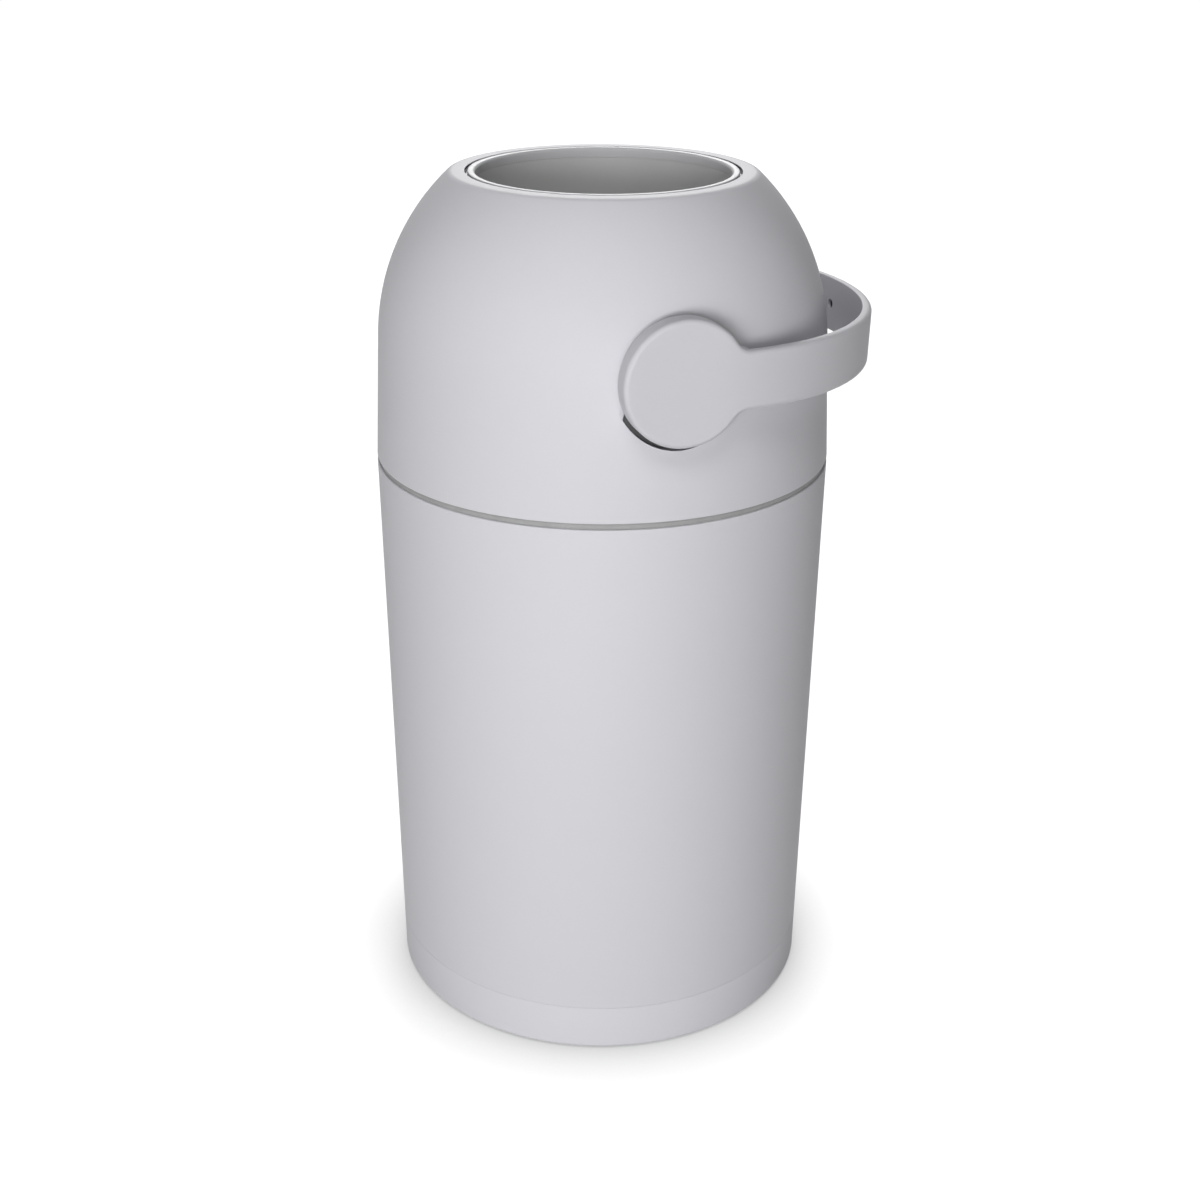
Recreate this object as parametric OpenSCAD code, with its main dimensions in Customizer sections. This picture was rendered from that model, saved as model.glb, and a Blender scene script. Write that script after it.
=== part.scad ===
// Nappy bin with a turning drum. Millimetres, +Z up, origin on the floor under the middle of the body.
// The tapered bucket stands on the floor and the domed top is hinged to it at the rear (+Y).
// A ball-shaped drum turns in the dome on two spindles along Y. A U-shaped handle turns it half a turn,
// over the top from +X to -X, and a loose piston inside the drum's chute then drops and empties it.

/* [Body outline] */
// Height of the top lip above the floor
total_h = 520.8; // [440:0.2:600]
// How much smaller the body's radius is at the floor than at the seam
body_taper = 4.6; // [2:0.1:10]
// Height of the open groove between bucket and dome
seam_gap = 3.6; // [3:0.1:5]
// Wall of the bucket
bucket_wall = 2.6; // [2:0.1:3.2]

/* [Base cap] */
// Height of the base cap
cap_h = 30; // [20:1:60]
// Wall of the base cap
cap_wall = 2.4; // [2:0.1:3.2]
// Floor of the base cap
cap_floor = 3; // [2.4:0.1:4]
// Hairline between base cap and bucket
cap_joint = 0.25; // [0.2:0.05:0.6]
// Height of the slope above the bucket's neck
neck_slope_h = 8; // [5:0.5:14]
// Rounding of the edge at the floor
base_round = 3; // [1:0.5:5]
// Radius of each grip pad
pad_r = 9; // [6:0.5:12]
// Thickness of each grip pad
pad_t = 1.6; // [1:0.1:2]
// Distance of the grip pads' middles from the outer surface
pad_inset = 21; // [18:1:40]
// Number of grip pads
pad_count = 4; // [3:1:8]

/* [Bucket rim] */
// Thickness of the rim flange
rim_t = 3; // [2:0.1:4]
// How far the rim flange reaches in from the outer surface
rim_flange_w = 6.6; // [6:0.1:8]
// Width of the sealing gasket
gasket_w = 4; // [3:0.1:4.5]
// How far the gasket lies inside the outer surface
gasket_inset = 2.3; // [1.5:0.1:3]
// Depth of the bag ring's ledge below the rim
ledge_depth = 11.5; // [10:0.5:14]
// How far the ledge reaches in past the rim flange
ledge_w = 4; // [3:0.5:6]
// Thickness of the ledge
ledge_t = 2.5; // [2:0.1:4]
// How far the bag ring reaches in past the ledge
bag_ring_reach = 15; // [10:0.5:20]
// Height of the bag ring
bag_ring_h = 8; // [6:0.5:8]
// Wall of the bag ring
bag_ring_wall = 2.2; // [1.8:0.1:3]

/* [Dome] */
// Space between the drum and the dome's ball-shaped inside
dome_space = 12.6; // [11.5:0.1:16]
// How far the middle of the dome's ball lies below the drum's axis
dome_centre_drop = 11; // [8:0.5:14]
// How far the dome's lower edge stands out past its ball
seam_flare = 3.4; // [3:0.1:6]
// Wall of the dome
dome_wall = 2.8; // [2.4:0.1:3.2]
// Rounding between the dome and its flat lip
lip_round = 6; // [3:0.5:8]

/* [Drum] */
// Length of the drum along its chute
drum_l = 177.6; // [160:0.2:200]
// Outer radius of the drum's rim at the lip
rim_ring_r = 78.9; // [72:0.1:84]
// How far the drum's lower rim reaches below the dome's lower edge
drum_reach = 9.9; // [8:0.1:14]
// Wall of the drum's two shells
drum_wall = 2.6; // [2:0.1:3.2]
// Running gap between the drum and the dome
drum_gap = 0.7; // [0.5:0.1:1.2]
// Width of each rim's round lip
rim_lip_w = 6.1; // [5.4:0.1:7]
// Height of each rim
rim_h = 6; // [5:0.5:8]
// How far each rim reaches over the shells
rim_lap = 1.6; // [1:0.1:2.4]
// Length of the rim's spigot between chute and shells
rim_spigot_h = 8; // [5:0.5:12]
// How far the chute's inside lies behind the lip
chute_step = 1.7; // [1:0.1:2]
// Wall of the chute
chute_wall = 2.4; // [1.8:0.1:2.4]

/* [Piston] */
// Height of the piston
piston_h = 34; // [28:1:44]
// Wall of the piston's two cups
piston_wall = 2.4; // [1.8:0.1:3]
// Clearance of the piston in the chute
piston_gap = 0.4; // [0.3:0.05:0.8]
// Height of each wiper ring
wiper_h = 3; // [2:0.5:4]
// Depth of the wiper ring grooves
wiper_depth = 2; // [1.4:0.1:2]
// Distance of the wiper rings from the piston's ends
wiper_inset = 5; // [4.5:0.5:7]
// How far the piston's weight lies inside the piston's outer surface
weight_inset = 24; // [8:1:40]
// Thickness of the piston's weight
weight_h = 8; // [4:0.5:10]
// Radius of the pillar that holds the weight
pillar_r = 8; // [6:0.5:12]
// Radius of the screw that joins the cups
piston_screw_r = 2; // [1.5:0.1:2.5]
// Length of that screw
piston_screw_l = 22; // [18:1:24]
// Radius of that screw's head
piston_head_r = 4; // [3.2:0.1:5]

/* [Handle] */
// Gap between the hub discs and the dome at the drum's axis
hub_gap = 2.45; // [2.2:0.05:5]
// Radius of the hub discs
hub_r = 35.5; // [32:0.5:38]
// Thickness of the hub discs
hub_depth = 9; // [8:0.1:11]
// Thickness of the hub's face and edge
hub_skin = 3; // [2.4:0.1:4]
// Width of the band
band_w = 34; // [28:0.5:38]
// Thickness of the band
band_t = 5.7; // [4.5:0.1:6.5]
// Length of the arms before the bend starts
arm_straight = 15; // [5:1:25]
// Rounding of the corners between hub and band
neck_round = 12; // [6:0.5:16]
// Angle by which the handle hangs below level
handle_droop = 2; // [0:0.5:4]
// Radius of the small hole inside the bend
grip_hole_r = 3; // [1.5:0.1:4]
// Depth of that hole
grip_hole_depth = 3; // [2:0.1:3.5]

/* [Spindles] */
// Radius of the spindles
spindle_r = 8.9; // [8:0.1:9.5]
// Distance of the spindles' flats from their axis
spindle_flat = 6.5; // [6:0.1:7.5]
// Wall of the bearing bushes
bush_wall = 3; // [2:0.1:3.5]
// Radius of the bushes' flanges
bush_flange_r = 15; // [14:0.5:16]
// Thickness of the bushes' flanges
bush_flange_t = 2; // [1.5:0.1:2.4]
// Wall of the dome's bosses round the bushes
dome_boss_wall = 4; // [2.5:0.1:5]
// Length of the drum's bosses
drum_boss_h = 16.5; // [12:0.5:20]
// Radius of the handle's pegs inside the spindles
hub_peg_r = 4.8; // [4:0.1:5]
// How far those pegs stand out of the hubs
hub_peg_l = 14; // [8:1:18]
// Radius of the spindle screws
spindle_screw_r = 2; // [1.5:0.1:2.2]
// Length of the spindle screws
spindle_screw_l = 30; // [24:1:32]
// Radius of the spindle screws' heads
spindle_head_r = 4.5; // [3.5:0.1:5]
// Height of the spindle screws' heads
spindle_head_h = 3; // [2:0.1:3.6]
// Gap between the stop lugs and the bearing boss
stop_gap = 4; // [2:0.5:6]
// Radius of the stop lugs
stop_lug_r = 3; // [2:0.1:3.5]
// How far the stop lugs stand out of the drum
stop_lug_h = 2.6; // [2:0.1:4]
// Half of the width of the stop block in the dome
stop_half_w = 3; // [2:0.1:4]

/* [Cradle under the drum] */
// Thickness of the cradle plate
cradle_t = 3; // [2.4:0.1:4]
// Room between the drum and the funnel at the plate
funnel_gap = 2.3; // [1.6:0.1:4]
// Wall of the funnel
funnel_wall = 2.4; // [2:0.1:3]
// How far the funnel reaches below the plate
funnel_h = 23; // [16:1:28]
// Gap between the locating ring and the bag ring
spigot_gap = 1.1; // [0.5:0.1:3]
// Wall of the locating ring
spigot_wall = 2; // [1.6:0.1:3]
// Height of the lower drum seal
lower_seal_h = 8; // [5:0.5:10]
// How far the upper drum seal reaches out past the drum's rim
upper_seal_w = 9.6; // [8:0.1:9.9]
// Height of the upper drum seal
upper_seal_h = 6.5; // [4:0.1:6.5]
// Thickness of the rib round the upper drum seal
seal_rib_t = 2; // [1.4:0.1:2.6]
// Number of screws that hold the cradle
cradle_screws = 6; // [4:1:8]
// Distance of those screws from the dome's inner face
cradle_screw_inset = 10.3; // [9:0.1:13]
// Radius of those screws
cradle_screw_r = 1.75; // [1.2:0.05:2]
// Length of those screws
cradle_screw_l = 16; // [10:1:18]
// Radius of their heads
cradle_head_r = 3.5; // [2.8:0.1:4]
// Height of their heads
cradle_head_h = 1.7; // [1.2:0.1:2.5]
// Wall of the posts that they are driven into
post_wall = 2.8; // [2:0.1:3.5]

/* [Hinge at the rear] */
// How far the hinge pin lies outside the body
hinge_out = 5.4; // [5:0.1:8]
// Radius of the hinge pin
hinge_pin_r = 1.6; // [1.2:0.1:2]
// Gap between the knuckles and the body
knuckle_out_gap = 1.2; // [0.8:0.1:2]
// Length of the dome's knuckle
knuckle_mid_l = 28; // [20:1:40]
// Length of each of the bucket's knuckles
knuckle_end_l = 15; // [10:1:20]
// Gap between the knuckles
knuckle_gap = 0.5; // [0.3:0.1:1]
// How far the bucket's bracket reaches down its wall
bracket_drop = 17; // [12:0.5:24]
// How far the dome's bracket reaches up its wall
bracket_rise = 12.5; // [9:0.5:18]
// Angle on the knuckles at which the brackets' slopes leave them
bracket_a = 37; // [25:1:50]

/* [Fits] */
// Gap between seated pieces
seat_gap = 0.3; // [0.2:0.05:0.4]
// Running clearance round pins and spindles
running_gap = 0.07; // [0.03:0.01:0.09]

/* [Hidden] */

$fn = 96;
body_grey = [0.83, 0.83, 0.85];
handle_grey = [0.77, 0.77, 0.80];
chute_grey = [0.47, 0.47, 0.48];
gasket_grey = [0.62, 0.62, 0.63];
cradle_grey = [0.70, 0.70, 0.72];
seal_grey = [0.30, 0.30, 0.31];
bush_white = [0.93, 0.93, 0.91];
piston_grey = [0.66, 0.66, 0.68];
steel = [0.72, 0.73, 0.75];

over = 1;                                    // how far a cut runs past a face
sink = 0.8;                                  // how far a rib or boss is sunk into its wall
front = -1;
rear = 1;

// The drum comes first, then the dome round it and the bucket below
half_l = drum_l / 2;
pivot_z = total_h - half_l;
drum_r = norm([half_l, rim_ring_r]);         // the ball that the drum's rims turn in
mouth_r = rim_ring_r - rim_lip_w;
chute_r = mouth_r + chute_step;
dome_r = drum_r + dome_space + dome_wall;
dome_centre_z = pivot_z - dome_centre_drop;
dome_z = pivot_z - half_l + drum_reach;      // lower edge of the dome
rim_z = dome_z - seam_gap;
seam_r = dome_r + seam_flare;
base_r = seam_r - body_taper;
far = 2 * seam_r;                            // longer than any cut across the body

// Outer radius of the tapered body at a height
function body_r(z) = base_r + (seam_r - base_r) * z / rim_z;

module ring(r_in, r_out, z_low, z_high) {
    translate([0, 0, z_low]) difference() {
        cylinder(r = r_out, h = z_high - z_low);
        translate([0, 0, -over]) cylinder(r = r_in, h = z_high - z_low + 2 * over);
    }
}

// Turns a shape drawn up the +Z axis so that it runs along the drum's axis to the front or the rear
module along_axis(side) {
    translate([0, 0, pivot_z]) rotate([-90 * side, 0, 0]) children();
}

module steel_screw(r, l, head_r, head_h) {
    cylinder(r = r, h = l, $fn = 32);
    translate([0, 0, -head_h]) cylinder(r = head_r, h = head_h, $fn = 32);
}

// ---- base ----
cap_in_low = body_r(cap_floor) - cap_wall;
cap_in_high = body_r(cap_h) - cap_wall;
shoulder_z = cap_h + cap_joint;
neck_low = cap_in_low - seat_gap;
neck_high = cap_in_high - seat_gap;
bucket_floor_z = cap_floor + bucket_wall;

module base_cap() {
    color(body_grey) difference() {
        rotate_extrude($fn = 128) difference() {
            union() {
                translate([base_r - base_round, base_round]) circle(r = base_round, $fn = 48);
                polygon([[0, 0], [base_r - base_round, 0], [base_r, base_round],
                    [body_r(cap_h), cap_h], [0, cap_h]]);
            }
            polygon([[-over, cap_floor], [cap_in_low, cap_floor], [cap_in_high, cap_h],
                [cap_in_high, cap_h + over], [-over, cap_h + over]]);
        }
        grip_pad_places() translate([0, 0, -over]) cylinder(r = pad_r + seat_gap, h = pad_t + over);
    }
}

module grip_pad_places() {
    for (i = [0:pad_count - 1]) rotate([0, 0, (i + 0.5) * 360 / pad_count])
        translate([base_r - pad_inset, 0, 0]) children();
}

module grip_pads() {
    color(seal_grey) grip_pad_places() cylinder(r = pad_r, h = pad_t, $fn = 48);
}

// ---- bucket ----
rim_open_r = seam_r - rim_flange_w;
ledge_open_r = rim_open_r - ledge_w;
ledge_z = rim_z - ledge_depth;
hinge_y = seam_r + hinge_out;
hinge_z = rim_z + seam_gap / 2;
knuckle_r = hinge_out - knuckle_out_gap;
knuckle_bore_r = hinge_pin_r + running_gap;
knuckle_end_x = knuckle_mid_l / 2 + knuckle_gap;
pin_half_l = knuckle_end_x + knuckle_end_l;
// Where the bucket's inner face passes the far end of a bracket
bracket_in_y = sqrt(pow(seam_r - bucket_wall, 2) - pow(pin_half_l, 2)) - sink;

module bucket() {
    color(body_grey) difference() {
        union() {
            rotate_extrude($fn = 128) polygon(bucket_outline());
            difference() {
                for (side = [-1, 1]) bucket_knuckle(side);
                cylinder(r = seam_r - bucket_wall + sink, h = rim_z);
            }
        }
        hinge_line() cylinder(r = knuckle_bore_r, h = far, center = true, $fn = 48);
    }
}

// Half of the bucket's section, from the middle of its floor out and up to the rim and back down inside
function bucket_outline() = [
    [0, cap_floor], [neck_low, cap_floor], [neck_high, shoulder_z], [body_r(shoulder_z), shoulder_z],
    [seam_r, rim_z], [rim_open_r, rim_z], [rim_open_r, rim_z - rim_t],
    [body_r(rim_z - rim_t) - bucket_wall, rim_z - rim_t], [body_r(ledge_z) - bucket_wall, ledge_z],
    [ledge_open_r, ledge_z], [ledge_open_r, ledge_z - ledge_t],
    [body_r(ledge_z) - bucket_wall, ledge_z - ledge_t - (body_r(ledge_z) - bucket_wall - ledge_open_r)],
    [body_r(shoulder_z) - bucket_wall, shoulder_z + neck_slope_h],
    [neck_high - bucket_wall, shoulder_z], [neck_low - bucket_wall, bucket_floor_z], [0, bucket_floor_z]];

// Places a shape drawn up the Z axis along the hinge pin
module hinge_line() {
    translate([0, hinge_y, hinge_z]) rotate([0, 90, 0]) children();
}

// A knuckle on a bracket that slopes down the bucket's wall
module bucket_knuckle(side) {
    x_mid = side * (knuckle_end_x + knuckle_end_l / 2);
    translate([x_mid, 0, 0]) {
        hinge_line() cylinder(r = knuckle_r, h = knuckle_end_l, center = true, $fn = 48);
        translate([-knuckle_end_l / 2, 0, 0]) rotate([90, 0, 90]) linear_extrude(height = knuckle_end_l)
            polygon([[hinge_y, hinge_z], [hinge_y - knuckle_r, rim_z - seat_gap],
                [bracket_in_y, rim_z - seat_gap], [bracket_in_y, rim_z - bracket_drop],
                [hinge_y + knuckle_r * cos(bracket_a), hinge_z - knuckle_r * sin(bracket_a)]]);
    }
}

module hinge_pin() {
    color(steel) hinge_line() cylinder(r = hinge_pin_r, h = 2 * pin_half_l, center = true, $fn = 48);
}

module rim_gasket() {
    gasket_r = seam_r - gasket_inset;
    color(gasket_grey) ring(gasket_r - gasket_w, gasket_r, rim_z, dome_z - seat_gap, $fn = 128);
}

// A channel-shaped ring that folds the bag's edge over the ledge
module bag_ring() {
    outer_r = rim_open_r - 2 * seat_gap;
    open_r = ledge_open_r - bag_ring_reach;
    color(cradle_grey) difference() {
        ring(open_r, outer_r, ledge_z, ledge_z + bag_ring_h);
        ring(open_r + bag_ring_wall, outer_r - bag_ring_wall,
            ledge_z + bag_ring_wall, ledge_z + bag_ring_h + over);
    }
}

// ---- dome ----
seam_d = norm([seam_r, dome_centre_z - dome_z]);
// Angle above level at which the lower cone meets the ball without a crease
meet_a = acos(dome_r / seam_d) - atan2(dome_centre_z - dome_z, seam_r);
inner_r = dome_r - dome_wall;
round_z = total_h - lip_round;
round_x = sqrt(pow(dome_r - lip_round, 2) - pow(round_z - dome_centre_z, 2));
round_a = atan2(round_z - dome_centre_z, round_x);
upper_seal_r = rim_ring_r + upper_seal_w;
upper_seal_top_z = total_h - dome_wall - seat_gap;

// Half of the dome's section as a filled shape
module dome_outline(inset) {
    ball = dome_r - inset;
    intersection() {
        translate([0, dome_z - over]) square([far, dome_centre_z + dome_r * sin(round_a) - dome_z + over]);
        union() {
            translate([0, dome_centre_z]) intersection() {
                circle(r = ball, $fn = 180);
                translate([0, -dome_r]) square([dome_r, 2 * dome_r]);
            }
            polygon([[0, dome_z - over], [seam_r - inset + over * tan(meet_a), dome_z - over],
                [ball * cos(meet_a), dome_centre_z + ball * sin(meet_a)],
                [0, dome_centre_z + ball * sin(meet_a)]]);
        }
    }
}

module dome_shell() {
    rotate_extrude($fn = 180) difference() {
        intersection() {
            union() {
                dome_outline(0);
                translate([round_x, round_z]) circle(r = lip_round, $fn = 64);
                translate([0, dome_z]) square([round_x, total_h - dome_z]);
            }
            translate([0, dome_z]) square([far, total_h - dome_z]);
        }
        intersection() {
            dome_outline(dome_wall);
            square([far, total_h - dome_wall]);
        }
    }
}

bush_r = spindle_r + running_gap + bush_wall;
bush_bore_r = bush_r + running_gap;
boss_r = bush_r + dome_boss_wall;
drum_boss_y = drum_r - seat_gap;
flange_y = drum_boss_y + seat_gap;
dome_boss_y = flange_y + bush_flange_t;
dome_y = sqrt(pow(dome_r, 2) - pow(dome_centre_drop, 2));
stop_r = boss_r + stop_lug_r + stop_gap;

module dome() {
    color(body_grey) difference() {
        union() {
            dome_shell();
            upper_seal_rib();
            for (side = [front, rear]) along_axis(side) dome_boss(side);
            cradle_screw_places() dome_post();
            dome_knuckle();
        }
        translate([0, 0, pivot_z]) sphere(r = drum_r + drum_gap, $fn = 180);
        for (side = [front, rear]) along_axis(side) cylinder(r = bush_bore_r, h = dome_r + over);
        hinge_line() cylinder(r = knuckle_bore_r, h = far, center = true, $fn = 48);
        cradle_screw_places() cylinder(r = cradle_screw_r, h = cradle_screw_l + over, $fn = 32);
    }
}

// The bearing boss with the block that stops the drum's lugs hanging below it
module dome_boss(side) {
    translate([0, 0, dome_boss_y]) cylinder(r = boss_r, h = dome_y - dome_wall + sink - dome_boss_y);
    stop_in = drum_r - sink;
    translate([-stop_half_w, side > 0 ? boss_r - sink : -stop_r - 2 * stop_lug_r, stop_in])
        cube([2 * stop_half_w, stop_r + 2 * stop_lug_r - boss_r + sink, inner_r - stop_in]);
}

// A rib that holds the upper seal against the drum
module upper_seal_rib() {
    rib_r = upper_seal_r + seat_gap;
    ring(rib_r, rib_r + seal_rib_t, upper_seal_top_z - upper_seal_h, total_h - dome_wall + sink);
}

post_r = cradle_screw_r + post_wall;
cradle_screw_ring_r = seam_r - dome_wall - cradle_screw_inset;

module cradle_screw_places() {
    for (i = [0:cradle_screws - 1]) rotate([0, 0, (i + 0.5) * 360 / cradle_screws])
        translate([cradle_screw_ring_r, 0, dome_z + cradle_t]) children();
}

// A screw post and the web that joins it to the wall
module dome_post() {
    cylinder(r = post_r, h = cradle_screw_l + cradle_t, $fn = 48);
    translate([0, -dome_wall / 2, 0])
        cube([seam_r - dome_wall + sink - cradle_screw_ring_r, dome_wall, cradle_screw_l + cradle_t]);
}

module dome_knuckle() {
    hinge_line() cylinder(r = knuckle_r, h = knuckle_mid_l, center = true, $fn = 48);
    foot_y = sqrt(pow(seam_r, 2) - pow(knuckle_mid_l / 2, 2)) - sink;
    translate([-knuckle_mid_l / 2, 0, 0]) rotate([90, 0, 90]) linear_extrude(height = knuckle_mid_l)
        polygon([[hinge_y, hinge_z], [hinge_y - knuckle_r, dome_z + seat_gap], [foot_y, dome_z + seat_gap],
            [foot_y, dome_z + bracket_rise],
            [hinge_y + knuckle_r * sin(bracket_a), hinge_z + knuckle_r * cos(bracket_a)]]);
}

// ---- cradle, seals and bushes ----
funnel_r = sqrt(pow(drum_r + drum_gap, 2) - pow(pivot_z - dome_z, 2)) + funnel_gap;
spigot_h = seam_gap + ledge_depth - bag_ring_h - spigot_gap;

module drum_cradle() {
    plate_r = seam_r - dome_wall - seat_gap;
    spigot_r = rim_open_r - 2 * seat_gap;
    color(cradle_grey) difference() {
        union() {
            ring(funnel_r - sink, plate_r, dome_z, dome_z + cradle_t, $fn = 128);
            ring(spigot_r - spigot_wall, spigot_r, dome_z - spigot_h, dome_z + sink, $fn = 128);
            ring(funnel_r, funnel_r + funnel_wall, dome_z - funnel_h, dome_z + sink, $fn = 128);
        }
        translate([0, 0, pivot_z]) sphere(r = drum_r + drum_gap, $fn = 180);
        cradle_screw_places() translate([0, 0, -cradle_t - over])
            cylinder(r = cradle_screw_r + seat_gap, h = cradle_t + 2 * over, $fn = 32);
    }
}

module cradle_screws() {
    color(steel) cradle_screw_places() translate([0, 0, -cradle_t])
        steel_screw(cradle_screw_r - running_gap, cradle_screw_l, cradle_head_r, cradle_head_h);
}

module upper_drum_seal() {
    color(seal_grey) rotate_extrude($fn = 128) difference() {
        translate([rim_ring_r, upper_seal_top_z - upper_seal_h])
            square([upper_seal_r - rim_ring_r, upper_seal_h]);
        translate([0, pivot_z]) circle(r = drum_r + seat_gap, $fn = 180);
    }
}

module lower_drum_seal() {
    top_z = dome_z - seat_gap;
    outer_r = funnel_r - seat_gap;
    color(seal_grey) rotate_extrude($fn = 128) difference() {
        translate([rim_ring_r, top_z - lower_seal_h]) square([outer_r - rim_ring_r, lower_seal_h]);
        translate([0, pivot_z]) circle(r = drum_r + seat_gap, $fn = 180);
    }
}

// A flanged bush, its flange inside the dome
module bush(side) {
    color(bush_white) along_axis(side) difference() {
        union() {
            translate([0, 0, flange_y]) cylinder(r = bush_flange_r, h = bush_flange_t, $fn = 64);
            translate([0, 0, flange_y]) cylinder(r = bush_r, h = dome_y - flange_y - seat_gap, $fn = 64);
        }
        translate([0, 0, flange_y - over]) cylinder(r = spindle_r + running_gap, h = dome_r, $fn = 64);
    }
}

// ---- handle ----
hub_back_y = dome_y + hub_gap;
hub_face_y = hub_back_y + hub_depth;
hub_floor_y = hub_face_y - hub_skin;
peg_in_y = hub_back_y - hub_peg_l;
spindle_end_y = hub_floor_y - seat_gap;
spindle_in_y = drum_boss_y - drum_boss_h + 2 * spindle_head_h;

// The handle seen from above: straight arms and a half-round bend, drawn filled
module handle_plan(r, back) {
    translate([-back, -r]) square([back + arm_straight, 2 * r]);
    translate([arm_straight, 0]) circle(r = r, $fn = 180);
}

module handle_wall(t) {
    difference() {
        handle_plan(hub_face_y, hub_r + over);
        handle_plan(hub_face_y - t, hub_r + 2 * over);
    }
}

// The hub seen along the drum's axis: a disc that runs into the band through two rounded corners
module hub_outline() {
    reach = hub_r + neck_round;
    corner_z = band_w / 2 + neck_round;
    corner_x = sqrt(reach * reach - corner_z * corner_z);
    circle(r = hub_r, $fn = 128);
    difference() {
        translate([0, -corner_z * hub_r / reach]) square([corner_x, 2 * corner_z * hub_r / reach]);
        for (s = [-1, 1]) translate([corner_x, s * corner_z]) circle(r = neck_round, $fn = 64);
    }
}

module handle() {
    color(handle_grey) {
        difference() {
            translate([0, 0, pivot_z]) rotate([0, handle_droop, 0]) handle_shell();
            for (side = [front, rear]) along_axis(side) hub_recess();
        }
        for (side = [front, rear]) along_axis(side) hub_peg();
    }
}

// The level U with its two solid hubs and the small hole inside the bend
module handle_shell() {
    difference() {
        union() {
            linear_extrude(height = band_w, center = true) intersection() {
                handle_wall(band_t);
                translate([0, -far]) square([far, 2 * far]);
            }
            intersection() {
                linear_extrude(height = far, center = true) handle_wall(hub_depth);
                rotate([90, 0, 0]) linear_extrude(height = 2 * far, center = true) hub_outline();
            }
        }
        translate([arm_straight + hub_face_y - band_t - over, 0, 0]) rotate([0, 90, 0])
            cylinder(r = grip_hole_r, h = grip_hole_depth + over, $fn = 48);
    }
}

// The hollow behind a hub's face, round the keyed socket
module hub_recess() {
    depth = hub_floor_y - hub_back_y + over;
    difference() {
        translate([0, 0, hub_back_y - over]) cylinder(r = hub_r - hub_skin, h = depth);
        translate([0, 0, hub_back_y]) cylinder(r = spindle_r + hub_skin, h = depth);
    }
    translate([0, 0, hub_back_y - over]) keyed(spindle_r + seat_gap / 2, spindle_flat + seat_gap / 2, depth);
}

// The peg that the spindle is pushed over and its screw is driven into
module hub_peg() {
    hole_l = spindle_in_y + spindle_screw_l - peg_in_y;
    difference() {
        translate([0, 0, peg_in_y]) cylinder(r = hub_peg_r, h = hub_floor_y + sink - peg_in_y, $fn = 64);
        translate([0, 0, peg_in_y - over])
            cylinder(r = spindle_screw_r + running_gap, h = hole_l + 2 * over, $fn = 32);
    }
}

// A round bar with one flat below its axis
module keyed(r, flat, h) {
    intersection() {
        cylinder(r = r, h = h, $fn = 64);
        translate([-2 * r, -2 * r, 0]) cube([4 * r, 2 * r + flat, h]);
    }
}

// ---- spindles ----
// Hollow and keyed at both ends, full round where it turns in the bush
module spindle(side) {
    color(steel) along_axis(side) difference() {
        union() {
            translate([0, 0, spindle_in_y]) keyed(spindle_r, spindle_flat, spindle_end_y - spindle_in_y);
            translate([0, 0, flange_y]) cylinder(r = spindle_r, h = dome_y - flange_y, $fn = 64);
        }
        translate([0, 0, spindle_in_y - over])
            cylinder(r = spindle_screw_r + running_gap, h = spindle_end_y - spindle_in_y, $fn = 32);
        translate([0, 0, peg_in_y - seat_gap])
            cylinder(r = hub_peg_r + seat_gap, h = spindle_end_y - peg_in_y + over, $fn = 64);
    }
}

module spindle_screws() {
    color(steel) for (side = [front, rear]) along_axis(side) translate([0, 0, spindle_in_y])
        steel_screw(spindle_screw_r, spindle_screw_l, spindle_head_r, spindle_head_h);
}

// ---- drum ----
shell_open_r = rim_ring_r + rim_lap + seat_gap;
// Angle of the lugs from level at which one of them lies on the stop block at each end of the turn
stop_a = 90 - asin((stop_half_w + stop_lug_r + seat_gap) / stop_r);
lug_in_y = drum_r - 2 * drum_wall;

module drum_shell(side) {
    color(body_grey) difference() {
        union() {
            translate([0, 0, pivot_z]) difference() {
                sphere(r = drum_r, $fn = 180);
                sphere(r = drum_r - drum_wall, $fn = 180);
                translate([-far, side > 0 ? -far : 0, -far]) cube([2 * far, far, 2 * far]);
            }
            along_axis(side) {
                translate([0, 0, drum_boss_y - drum_boss_h]) cylinder(r = bush_flange_r, h = drum_boss_h);
                for (a = [-stop_a, stop_a]) rotate([0, 0, a]) translate([stop_r, 0, lug_in_y])
                    cylinder(r = stop_lug_r, h = drum_r + stop_lug_h - lug_in_y, $fn = 48);
            }
        }
        cylinder(r = shell_open_r, h = total_h + far);
        along_axis(side) {
            translate([0, 0, spindle_in_y]) keyed(spindle_r + seat_gap / 2, spindle_flat + seat_gap / 2, far);
            cylinder(r = spindle_head_r + seat_gap, h = spindle_in_y + over, $fn = 32);
        }
    }
}

module chute() {
    color(chute_grey)
        ring(chute_r, chute_r + chute_wall, pivot_z - half_l + rim_h, pivot_z + half_l - rim_h, $fn = 128);
}

// One rim, drawn for the upper end: a round lip, a shoulder over the shells and a spigot
module rim() {
    lip_r = (rim_ring_r - mouth_r) / 2;
    lap_r = rim_ring_r + rim_lap;
    spigot_in_r = chute_r + chute_wall + seat_gap;
    rotate_extrude($fn = 128) {
        intersection() {
            translate([mouth_r + lip_r, half_l - lip_r]) circle(r = lip_r, $fn = 64);
            translate([0, half_l - rim_h]) square([far, rim_h]);
        }
        translate([mouth_r, half_l - rim_h]) square([lap_r - mouth_r, rim_h - lip_r]);
        translate([spigot_in_r, half_l - rim_h - rim_spigot_h])
            square([lap_r - spigot_in_r, rim_spigot_h + sink]);
    }
}

module upper_rim() {
    color(body_grey) translate([0, 0, pivot_z]) rim();
}

module lower_rim() {
    color(body_grey) translate([0, 0, pivot_z]) rotate([180, 0, 0]) rim();
}

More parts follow.
